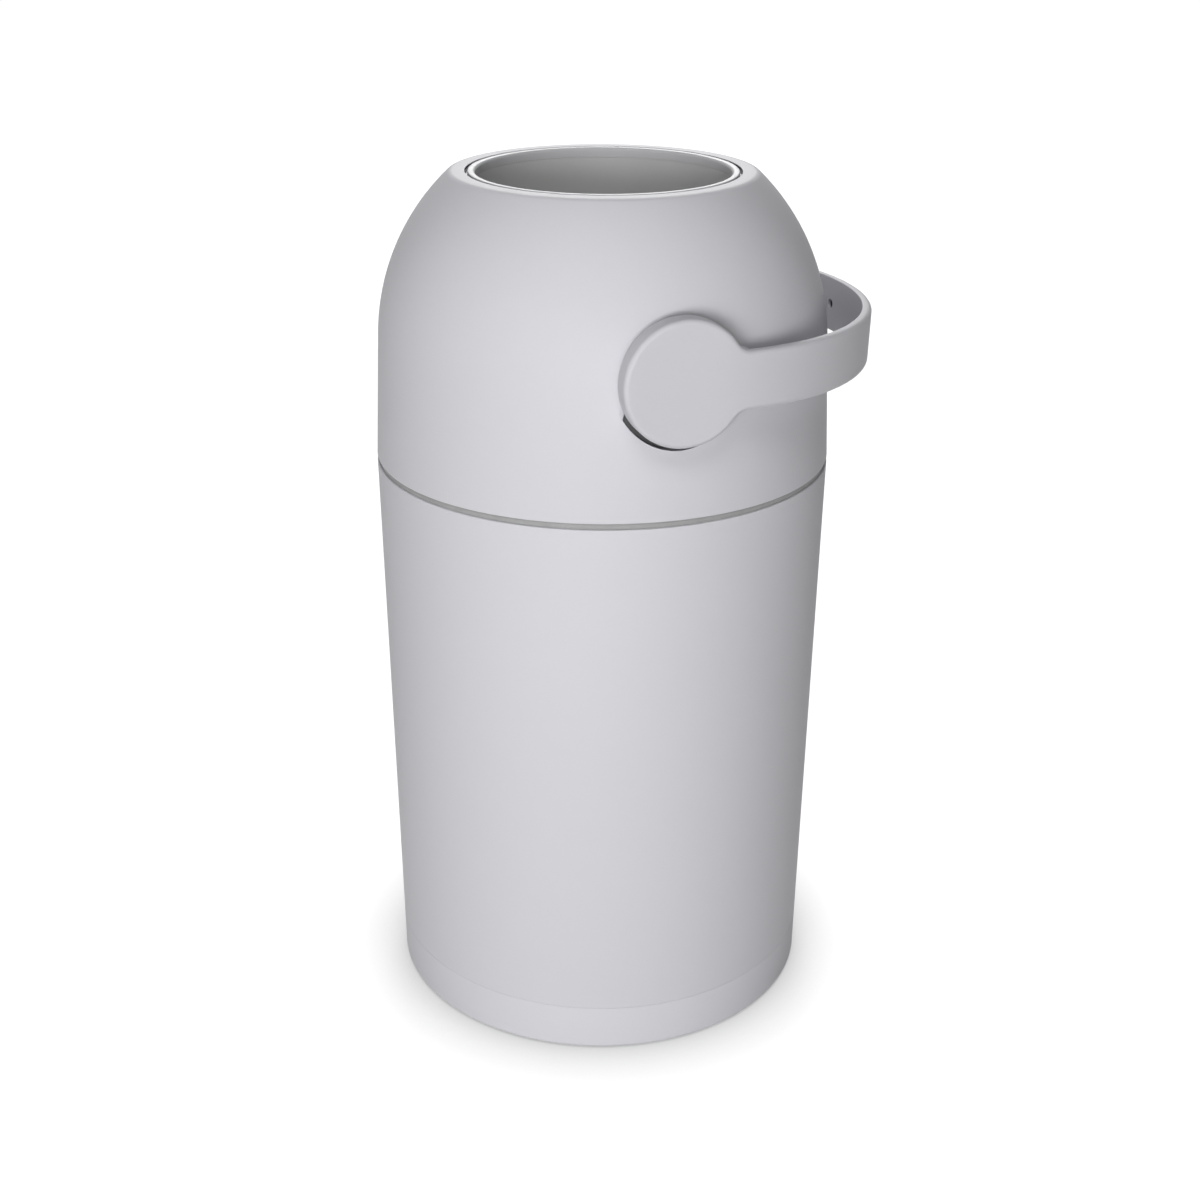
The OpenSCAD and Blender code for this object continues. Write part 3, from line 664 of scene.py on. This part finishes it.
# ---- dome ----
domeSettings = {
    "ballRadius": 134.188,
    "ballHeight": 421,
    "coneAngle": 2.73,        # degrees above level at which the cone meets the ball
    "wall": 2.8,
    "lipX": 87.37,
    "lipZ": 514.8,
    "clearRadius": 119.488,   # the ball that the drum turns in
    "lipEdgeRound": 0.45,
    "lipUnderRound": 0.3,
    "seamEdgeRound": 0.6,
    "seamInnerRound": 0.4,
    "smoothAngle": 12.5,      # less than the angle at which a seat's floor meets the dome
}


def makeDome(settings):
    ball, middle, wall = settings["ballRadius"], settings["ballHeight"], settings["wall"]
    cone = math.radians(settings["coneAngle"])
    seam = (shared["seamRadius"], shared["domeHeight"])
    coneTop = (ball * math.cos(cone), middle + ball * math.sin(cone))
    lipTurn = math.degrees(math.atan2(settings["lipZ"] - middle, settings["lipX"]))
    clear = settings["clearRadius"]
    lipTop = shared["height"]
    gapTop = (math.sqrt(clear ** 2 - (lipTop - shared["pivotHeight"]) ** 2), lipTop)
    gapLow = (math.sqrt(clear ** 2 - (lipTop - wall - shared["pivotHeight"]) ** 2), lipTop - wall)
    inBall = ball - wall
    inTop = (math.sqrt(inBall ** 2 - (lipTop - wall - middle) ** 2), lipTop - wall)
    inTurn = math.degrees(math.atan2(inTop[1] - middle, inTop[0])) - settings["coneAngle"]
    inSeam = (seam[0] - wall, seam[1])
    piece = startOutline("domeCover", *seam)
    drawOn(seam, [coneTop, (0, middle, lipTurn - settings["coneAngle"], 22),
        (settings["lipX"], settings["lipZ"], 90 - lipTurn, 8), gapTop, gapLow, inTop,
        (0, middle, -inTurn, 18), inSeam])
    closeOutline(piece)
    roundCorners(piece, [(*seam, settings["seamEdgeRound"]), (*inSeam, settings["seamInnerRound"]),
        (*gapTop, settings["lipEdgeRound"]), (*gapLow, settings["lipUnderRound"])], segments=8)
    spinRound(piece, shared["stepsRound"])
    return piece


domeFittingSettings = {
    "bossRadius": 15.97,
    "bossLow": 120.788,       # distances along the drum's axis
    "bossHigh": 131.736,
    "boreRadius": 12.04,
    "stopWidth": 6,
    "stopLow": 15.17,         # how far below the axis the stop block begins and ends
    "stopHigh": 28.97,
    "stopIn": 117.988,
    "stopOut": 131.388,
    "postRadius": 4.55,
    "postReach": 124.488,
    "postLow": 356.1,
    "postHeight": 19,
    "postBore": 1.75,
    "postBoreDepth": 17,
    "webThickness": 2.8,
    "webReach": 135.588,
    "webStep": 0.5,           # how far a web ends below its post's top
    "ribIn": 88.8,
    "ribOut": 90.8,
    "ribLow": 511.2,
    "ribHigh": 518.8,
    "count": 6,
    "edgeRound": 0.4,
    "seatRadius": 36.1,       # the flat seat let into the dome behind each hub
    "seatDrop": 3,            # how far its middle lies below the drum's axis
    "seatFloor": 130.4,
    "seatBack": 126.4,
    "seatInner": 16.6,        # what is left standing round the bearing boss
    "seatRim": 3,             # how far the backing reaches out past the seat
    "seatInset": 0.6,         # how far the backing stays inside the dome's surface
}


# The dome's outer shape as one solid, a little smaller, to trim what has to stay inside it
def makeDomeCore(settings, inset):
    cone = math.radians(settings["coneAngle"])
    ball, middle, low = settings["ballRadius"] - inset, settings["ballHeight"], shared["domeHeight"]
    piece = startOutline("domeCore", 0, low)
    drawOn((0, low), [(shared["seamRadius"] - inset, low), (ball * math.cos(cone), middle + ball * math.sin(cone)),
        (0, middle, 90 - settings["coneAngle"], 24)])
    spinRound(piece, steps=96)
    return piece


# A block between two corners, its edges rounded
def roundedBlock(name, low, high, edgeRound):
    selectOnly()
    middle = [(a + b) / 2 * mm for a, b in zip(low, high)]
    bpy.ops.mesh.primitive_cube_add(size=1, location=middle)
    piece = bpy.context.object
    piece.name = name
    piece.scale = [(b - a) * mm for a, b in zip(low, high)]
    bpy.ops.object.transform_apply(location=True, rotation=True, scale=True)
    edit(piece, "EDGE")
    bpy.ops.mesh.select_all(action="SELECT")
    bpy.ops.mesh.bevel(offset=edgeRound * mm, segments=2, affect="EDGES")
    objectMode()
    return piece


# A cylinder along the drum's axis on one side (-1 in front, 1 at the rear), between two distances from the middle
def sideBar(name, side, radius, low, high, vertices=96, drop=0):
    middle = (0, 0, shared["pivotHeight"] - drop)
    return cylinderAlong(name, "Y", middle, radius, *sorted((side * low, side * high)), vertices)


# The rib that holds the upper seal
def makeSealRib(settings):
    inside, outside, low, high = (settings[key] for key in ("ribIn", "ribOut", "ribLow", "ribHigh"))
    rib = startOutline("sealRib", inside, low)
    drawOn((inside, low), [(outside, low), (outside, high), (inside, high)])
    closeOutline(rib)
    roundCorners(rib, [(inside, low, settings["edgeRound"]), (outside, low, settings["edgeRound"])], segments=3)
    spinRound(rib, shared["stepsRound"])
    return rib


# A bearing boss with the block that stops the drum's turn
def makeBoss(settings, side):
    boss = sideBar("bearingBoss", side, settings["bossRadius"], settings["bossLow"], settings["bossHigh"])
    edit(boss, "EDGE")
    pick(boss, "EDGE", lambda edge: edge.calc_face_angle(0) > cornerAngle)
    bpy.ops.mesh.bevel(offset=settings["edgeRound"] * mm, segments=3, affect="EDGES")
    objectMode()
    pivot, half = shared["pivotHeight"], settings["stopWidth"] / 2
    low, high = sorted((side * settings["stopIn"], side * settings["stopOut"]))
    cut(boss, roundedBlock("stopBlock", (-half, low, pivot - settings["stopHigh"]),
        (half, high, pivot - settings["stopLow"]), settings["edgeRound"]), "UNION")
    return boss


# The posts that the cradle is screwed to
def makePosts(settings):
    low, high = settings["postLow"], settings["postLow"] + settings["postHeight"]
    reach, half = settings["postReach"], settings["webThickness"] / 2
    post = cylinderAlong("screwPost", "Z", (reach, 0, 0), settings["postRadius"], low, high, vertices=48)
    cut(post, roundedBlock("postWeb", (reach, -half, low), (settings["webReach"], half, high - settings["webStep"]),
        settings["edgeRound"]), "UNION")
    cut(post, cylinderAlong("postBore", "Z", (reach, 0, 0), settings["postBore"], low - spare,
        low + settings["postBoreDepth"], vertices=32))
    posts = []
    for count in range(settings["count"]):
        selectOnly(post)
        bpy.ops.object.duplicate()
        copy = bpy.context.object
        copy.rotation_euler = (0, 0, (count + 0.5) * 2 * math.pi / settings["count"])
        bpy.ops.object.transform_apply(rotation=True)
        posts.append(copy)
    bpy.data.objects.remove(post)
    return posts


# What backs the seat behind a hub
def makeSeatBacking(settings, side):
    backing = sideBar("seatBacking", side, settings["seatRadius"] + settings["seatRim"], settings["seatBack"],
        shared["seamRadius"], drop=settings["seatDrop"])
    cut(backing, makeDomeCore(domeSettings, settings["seatInset"]), "INTERSECT")
    return backing


def addDomeFittings(cover, settings):
    fittings = [makeSealRib(settings)]
    fittings += [makeBoss(settings, side) for side in (-1, 1)]
    fittings += makePosts(settings)
    fittings += [makeSeatBacking(settings, side) for side in (-1, 1)]
    joinInto(cover, *fittings)
    outside = shared["seamRadius"] + 5 * spare
    for side in (-1, 1):
        seat = sideBar("hubSeat", side, settings["seatRadius"], settings["seatFloor"], outside, shared["stepsRound"],
            settings["seatDrop"])
        cut(seat, sideBar("seatMiddle", side, settings["seatInner"], settings["seatFloor"] - spare, outside + spare))
        cut(cover, seat)
    cut(cover, sideBar("bearingBore", 1, settings["boreRadius"], -outside, outside))


domeCover = makeDome(domeSettings)
addDomeFittings(domeCover, domeFittingSettings)
joinInto(domeCover, domeKnuckle(hingeSettings))
finishPiece(domeCover, "top", bodyPlastic, ["dome"], domeSettings["smoothAngle"])

# ---- dark rubber rings in the seats behind the hubs, painted shade for the narrow gap under each hub disc ----
hubShadeRingSettings = {
    "outerRadius": 36,
    "innerRadius": 31,
    "low": 130.2,
    "high": 131.2,
    "inset": 0.7,             # how far it stays inside the dome's surface
}


# A dark rubber ring in the seat that stands in for the shade in the gap under the hub's disc: painted shade
def makeHubShadeRing(name, settings, side):
    low, high, drop = settings["low"], settings["high"], domeFittingSettings["seatDrop"]
    piece = sideBar(name, side, settings["outerRadius"], low, high, shared["stepsRound"], drop)
    piece.data.name = name
    cut(piece, sideBar("shadeRingMiddle", side, settings["innerRadius"], low - spare, high + spare, drop=drop))
    cut(piece, makeDomeCore(domeSettings, settings["inset"]), "INTERSECT")
    return piece


for name, side in (("frontHubShadeRing", -1), ("rearHubShadeRing", 1)):
    finishPiece(makeHubShadeRing(name, hubShadeRingSettings, side), "top", sealRubber)

# ---- handle ----
handleSettings = {
    "hubRadius": 35.5,
    "hubDepth": 12,
    "hubSkin": 3,             # what is left in front of the hollow behind each hub
    "socketLow": 136.186,     # where the socket behind each hub begins
    "bandWidth": 32.8,
    "bandThickness": 5.7,
    "neckRound": 12,
    "armStraight": 15,
    "reach": 145.186,         # from the middle to the hubs' faces, and the outer radius of the bend
    "droop": 1.6,             # degrees
    "faceRound": 2.8,
    "backRound": 0.7,
    "holeRadius": 3,
    "holeDepth": 4.2,
    "holeTurn": 4.3,          # degrees from the middle of the bend towards the rear
    "socketRadius": 11.9,
    "keyRadius": 9.05,
    "keyFlat": 6.65,          # how far the key's flat lies below the axis
    "keyRound": 0.1,
    "pegRadius": 4.8,
    "pegLow": 122.186,
    "pegRoot": 0.8,           # how far the peg reaches into the hub's skin
    "screwRadius": 2.07,
    "screwEnd": 139.7,
    "bendSteps": 100,
    "bendLead": 0.04,         # share of each arm that its end next to the bend takes
    "rows": (-24, -16, -8, 0, 8, 16, 24),
    "closeDistance": 0.01,    # mm within which the outline's end is its start
    "smoothAngle": 35,
}


# Cuts through a whole mesh at a plane, and keeps both sides
def cutThrough(piece, place, across):
    bpy.ops.mesh.select_all(action="SELECT")
    bpy.ops.mesh.bisect(plane_co=[value * mm for value in place], plane_no=across,
        threshold=planeDistance * mm)


# The handle's outer face laid out flat, as a strip with a hub at each end, x along it and z across it
def drawHandleFace(settings, length):
    hub, neck = settings["hubRadius"], settings["neckRound"]
    half = settings["bandWidth"] / 2
    cornerZ = half + neck
    cornerX = math.sqrt((hub + neck) ** 2 - cornerZ ** 2)
    turn = math.degrees(math.atan2(cornerZ, cornerX))
    ratio = hub / (hub + neck)
    start = (cornerX * ratio, cornerZ * ratio)
    strip = startOutline("handleGrip", *start)
    drawOn(start, [(0, 0, 360 - 2 * turn, 96), (cornerX, -cornerZ, turn - 90, 8), (length - cornerX, -half),
        (length - cornerX, -cornerZ, turn - 90, 8), (length, 0, 360 - 2 * turn, 96),
        (length - cornerX, cornerZ, turn - 90, 8), (cornerX, half), (cornerX, cornerZ, turn - 90, 8)])
    bpy.ops.mesh.select_all(action="SELECT")
    bpy.ops.mesh.remove_doubles(threshold=settings["closeDistance"] * mm)
    bpy.ops.mesh.edge_face_add()
    return strip, cornerX


# How far forward the band's inner face reaches, and how far off the middle the hole in it lies
def gripHole(settings):
    inner = settings["reach"] - settings["bandThickness"]
    return settings["armStraight"] + inner, inner * math.sin(math.radians(settings["holeTurn"]))


def makeHandle(settings):
    reach, straight, thickness = settings["reach"], settings["armStraight"], settings["bandThickness"]
    length = 2 * straight + math.pi * reach
    strip, neckX = drawHandleFace(settings, length)
    for x in (neckX, length - neckX):
        bpy.ops.mesh.select_all(action="SELECT")
        bpy.ops.mesh.bisect(plane_co=(x * mm, 0, 0), plane_no=(1, 0, 0))
    bpy.ops.mesh.select_all(action="SELECT")
    pushFaces((0, thickness, 0))
    tidyMesh()
    # the hubs are deeper than the band
    pick(strip, "FACE", lambda face: near(face.calc_center_median().y, thickness)
        and not neckX < face.calc_center_median().x / mm < length - neckX)
    pushFaces((0, settings["hubDepth"] - thickness, 0))
    tidyMesh()
    pick(strip, "EDGE", lambda edge: edge.calc_face_angle(0) > cornerAngle
        and all(near(vertex.co.y, 0) for vertex in edge.verts))
    bpy.ops.mesh.bevel(offset=settings["faceRound"] * mm, segments=6, affect="EDGES")
    pick(strip, "EDGE", lambda edge: edge.calc_face_angle_signed(0) > cornerAngle
        and all(vertex.co.y > (settings["faceRound"] + spare) * mm for vertex in edge.verts))
    bpy.ops.mesh.bevel(offset=settings["backRound"] * mm, segments=4, affect="EDGES")
    # cuts across and along it let the strip follow the bend
    count = settings["bendSteps"]
    for share in range(count + 1):
        cutThrough(strip, (straight + math.pi * reach * share / count, 0, 0), (1, 0, 0))
    for z in settings["rows"]:
        cutThrough(strip, (0, 0, z), (0, 0, 1))
    objectMode()

    # the path that the strip is bent along, seen from above
    path = startOutline("handlePath", 0, 0)
    bpy.ops.transform.translate(value=(0, -reach * mm, 0))
    lead = straight * settings["bendLead"]
    pushVertex((straight - lead, 0, 0))
    pushVertex((lead, 0, 0))
    bpy.ops.mesh.spin(steps=count, angle=-math.pi, center=(straight * mm, 0, 0), axis=(0, 0, 1))
    pushVertex((-lead, 0, 0))
    pushVertex((lead - straight, 0, 0))
    objectMode()
    bpy.ops.object.convert(target="CURVE")
    applyModifier(strip, "CURVE", object=path, deform_axis="POS_X")
    bpy.data.objects.remove(path)

    apex, holeY = gripHole(settings)
    cut(strip, cylinderAlong("gripHole", "X", (0, holeY, 0), settings["holeRadius"], apex - 2 * spare,
        apex + settings["holeDepth"], vertices=48))
    strip.rotation_euler = (0, math.radians(settings["droop"]), 0)
    strip.location = (0, 0, shared["pivotHeight"] * mm)
    selectOnly(strip)
    bpy.ops.object.transform_apply(location=True, rotation=True, scale=True)
    for side in (-1, 1):
        hollowHub(strip, settings, side)
    selectOnly(strip)
    bpy.ops.object.shade_smooth_by_angle(angle=math.radians(settings["smoothAngle"]))
    applyModifier(strip, "WEIGHTED_NORMAL", keep_sharp=True)
    return strip


# Hollows a hub from behind, round its keyed socket, and adds the peg that takes the spindle's screw
def hollowHub(handle, settings, side):
    back = settings["reach"] - settings["hubDepth"]
    deep = settings["reach"] - settings["hubSkin"]
    low = settings["pegLow"]
    hollow = sideBar("hubHollow", side, settings["hubRadius"] - settings["hubSkin"], back - spare, deep)
    cut(hollow, sideBar("hubSocket", side, settings["socketRadius"], settings["socketLow"], deep + spare))
    key = sideBar("hubKey", side, settings["keyRadius"], back - spare, deep)
    wide = settings["keyRadius"] + spare
    inner, outer = sorted((side * (back - 2 * spare), side * (deep + spare)))
    flat = shared["pivotHeight"] - settings["keyFlat"]
    cut(key, roundedBlock("keyFlat", (-wide, inner, flat - 2 * wide), (wide, outer, flat), settings["keyRound"]))
    cut(handle, hollow)
    cut(handle, key)
    peg = sideBar("hubPeg", side, settings["pegRadius"], low, deep + settings["pegRoot"], vertices=64)
    cut(handle, peg, "UNION")
    cut(handle, sideBar("pegBore", side, settings["screwRadius"], low - spare, settings["screwEnd"], vertices=32))


handleGrip = makeHandle(handleSettings)
finishPiece(handleGrip, "drum", handlePlastic, ["handle"], None)

# ---- dark rubber plug in the hole inside the grip, painted shade that makes the shallow hole look deep ----
gripShadePlugSettings = {
    "radius": 2.85,
    "length": 3.1,
    "rimWidth": 0.7,
    "dish": 0.5,              # how far its end is hollowed
    "edgeRound": 0.25,
}


# A dark rubber plug set into the grip's hole that stands in for the shade deep in a hole: painted shade
def makeGripShadePlug(settings, handle):
    apex, holeY = gripHole(handle)
    far = apex + handle["holeDepth"]
    face = far - settings["length"]
    piece = cylinderAlong("gripShadePlug", "X", (0, holeY, 0), settings["radius"], face, far, vertices=48)
    edit(piece, "FACE")
    pick(piece, "FACE", lambda item: near(item.calc_center_median().x, face))
    bpy.ops.mesh.inset(thickness=settings["rimWidth"] * mm, depth=0)
    bpy.ops.mesh.inset(thickness=settings["dish"] * mm, depth=-settings["dish"] * mm)
    pick(piece, "EDGE", lambda edge: edge.calc_face_angle(0) > cornerAngle
        and all(near(vertex.co.x, face) for vertex in edge.verts))
    bpy.ops.mesh.bevel(offset=settings["edgeRound"] * mm, segments=3, affect="EDGES")
    objectMode()
    piece.rotation_euler = (0, math.radians(handle["droop"]), 0)
    piece.location = (0, 0, shared["pivotHeight"] * mm)
    return piece


gripShadePlug = makeGripShadePlug(gripShadePlugSettings, handleSettings)
finishPiece(gripShadePlug, "drum", sealRubber)

# ---- rims and chute of the drum ----
rimSettings = {
    "wallRadius": 74.5,       # inside, flush with the chute
    "lipRadius": 78.9,
    "lapRadius": 80.5,
    "spigotRadius": 77.2,
    "lipHeight": 3.05,
    "height": 6,
    "spigotDepth": 8,
    "innerRound": 1.9,
    "outerRound": 0.7,
    "edgeRound": 0.4,
}
chuteSettings = {"radius": 74.5, "wall": 2.4, "edgeRound": 0.3}


# Drawn and turned for the upper end of the drum, then copied to the lower one
def makeRims(settings):
    top = shared["height"]
    low = top - settings["height"]
    shoulder = top - settings["lipHeight"]
    end = low - settings["spigotDepth"]
    wall, lip, lap, spigot = (settings[key] for key in ("wallRadius", "lipRadius", "lapRadius", "spigotRadius"))
    start = (wall, low)
    piece = startOutline("upperRim", *start)
    drawOn(start, [(wall, top), (lip, top), (lip, shoulder), (lap, shoulder), (lap, end), (spigot, end),
        (spigot, low)])
    closeOutline(piece)
    roundCorners(piece, [(wall, top, settings["innerRound"]), (lip, top, settings["outerRound"])], segments=7)
    roundCorners(piece, [(lap, shoulder, settings["edgeRound"]), (lap, end, settings["edgeRound"]),
        (spigot, end, settings["edgeRound"])], segments=3)
    spinRound(piece, shared["stepsRound"])
    selectOnly(piece)
    bpy.ops.object.duplicate()
    other = bpy.context.object
    other.name = "lowerRim"
    other.data.name = "lowerRim"
    other.rotation_euler = (math.pi, 0, 0)
    other.location = (0, 0, 2 * shared["pivotHeight"] * mm)
    return piece, other


def makeChute(settings, rim):
    inside, outside = settings["radius"], settings["radius"] + settings["wall"]
    high = shared["height"] - rim["height"]
    low = 2 * shared["pivotHeight"] - high
    corners = [(inside, low), (outside, low), (outside, high), (inside, high)]
    piece = startOutline("chuteTube", *corners[0])
    drawOn(corners[0], corners[1:])
    closeOutline(piece)
    roundCorners(piece, [(*corner, settings["edgeRound"]) for corner in corners], segments=2)
    spinRound(piece, shared["stepsRound"])
    return piece


upperRim, lowerRim = makeRims(rimSettings)
finishPiece(upperRim, "drum", rimPlastic, ["upper_rim"])
finishPiece(lowerRim, "drum", rimPlastic, ["lower_rim"])
chuteTube = makeChute(chuteSettings, rimSettings)
finishPiece(chuteTube, "drum", chutePlastic, ["chute"])

# ---- floor, backdrop and light ----
stageSettings = {
    "floorRadius": 12,        # metres
    "floorColour": (0.55, 0.55, 0.55, 1),
    "floorCatch": (0.2, 0.2, 0.2, 1),      # how much of the lamps' light the camera sees on the floor
    "shadowReach": 0.06,      # metres over which the shadow at the foot fades
    "shadowStops": [(0.4, 0.42), (0.7, 0.78), (0.95, 0.98), (1.0, 1.0)],
    "worldLight": 0.03,
    "lampReach": 4.0,         # metres
    "aim": (0, 0, 0.2),
    # name: degrees round from the front towards -X, degrees up, size in metres, watts
    "lamps": {
        "left": (32, 3, 1.6, 87),
        "front": (18, 3, 1.6, 46),
        "high": (25, 60, 1.6, 42),
        "rear": (198, 32, 1.6, 75),
    },
}


def addLamp(name, turn, rise, size, power, settings):
    lamp = bpy.data.lights.new(name, "AREA")
    lamp.shape = "DISK"
    lamp.size = size
    lamp.energy = power
    holder = bpy.data.objects.new(name, lamp)
    bpy.context.scene.collection.objects.link(holder)
    turn, rise = math.radians(turn), math.radians(rise)
    away = Vector((-math.sin(turn) * math.cos(rise), -math.cos(turn) * math.cos(rise), math.sin(rise)))
    holder.location = Vector(settings["aim"]) + away * settings["lampReach"]
    holder.rotation_euler = away.to_track_quat("Z", "Y").to_euler()


# A white floor for the camera and for reflections, darker only at the foot of the bin, and grey paint for other light
def makeFloor(settings):
    selectOnly()
    bpy.ops.mesh.primitive_circle_add(vertices=96, radius=settings["floorRadius"], fill_type="NGON")
    floor = bpy.context.object
    floor.name = "floor"
    finish = Finish("floorPaint")
    seen = finish.seenDirectly()
    openness = finish.node("ShaderNodeAmbientOcclusion", {"samples": 24}, {"Distance": settings["shadowReach"]},
        output="AO")
    glow = finish.node("ShaderNodeEmission", {}, {"Strength": finish.ramp(openness, settings["shadowStops"])})
    catch = finish.node("ShaderNodeBsdfDiffuse", {}, {"Color": settings["floorCatch"]})
    paint = finish.node("ShaderNodeBsdfDiffuse", {}, {"Color": settings["floorColour"]})
    white = finish.node("ShaderNodeAddShader", {}, {0: glow, 1: catch})
    finish.surface(finish.node("ShaderNodeMixShader", {}, {0: seen, 1: paint, 2: white}))
    floor.data.materials.append(finish.material)


def makeWorld(settings):
    world = bpy.data.worlds.new("world")
    bpy.context.scene.world = world
    world.use_nodes = True
    finish = Finish(world)
    strength = finish.node("ShaderNodeMix", {}, {0: finish.seenDirectly(), 2: settings["worldLight"], 3: 1.0})
    back = world.node_tree.nodes["Background"]
    finish.feed(back.inputs["Color"], (1, 1, 1, 1))
    finish.feed(back.inputs["Strength"], strength)


def makeStage(settings):
    makeFloor(settings)
    makeWorld(settings)
    for name, (turn, rise, size, power) in settings["lamps"].items():
        addLamp(name, turn, rise, size, power, settings)
    bpy.context.scene.view_settings.view_transform = "Standard"


makeStage(stageSettings)
print("stage lit")
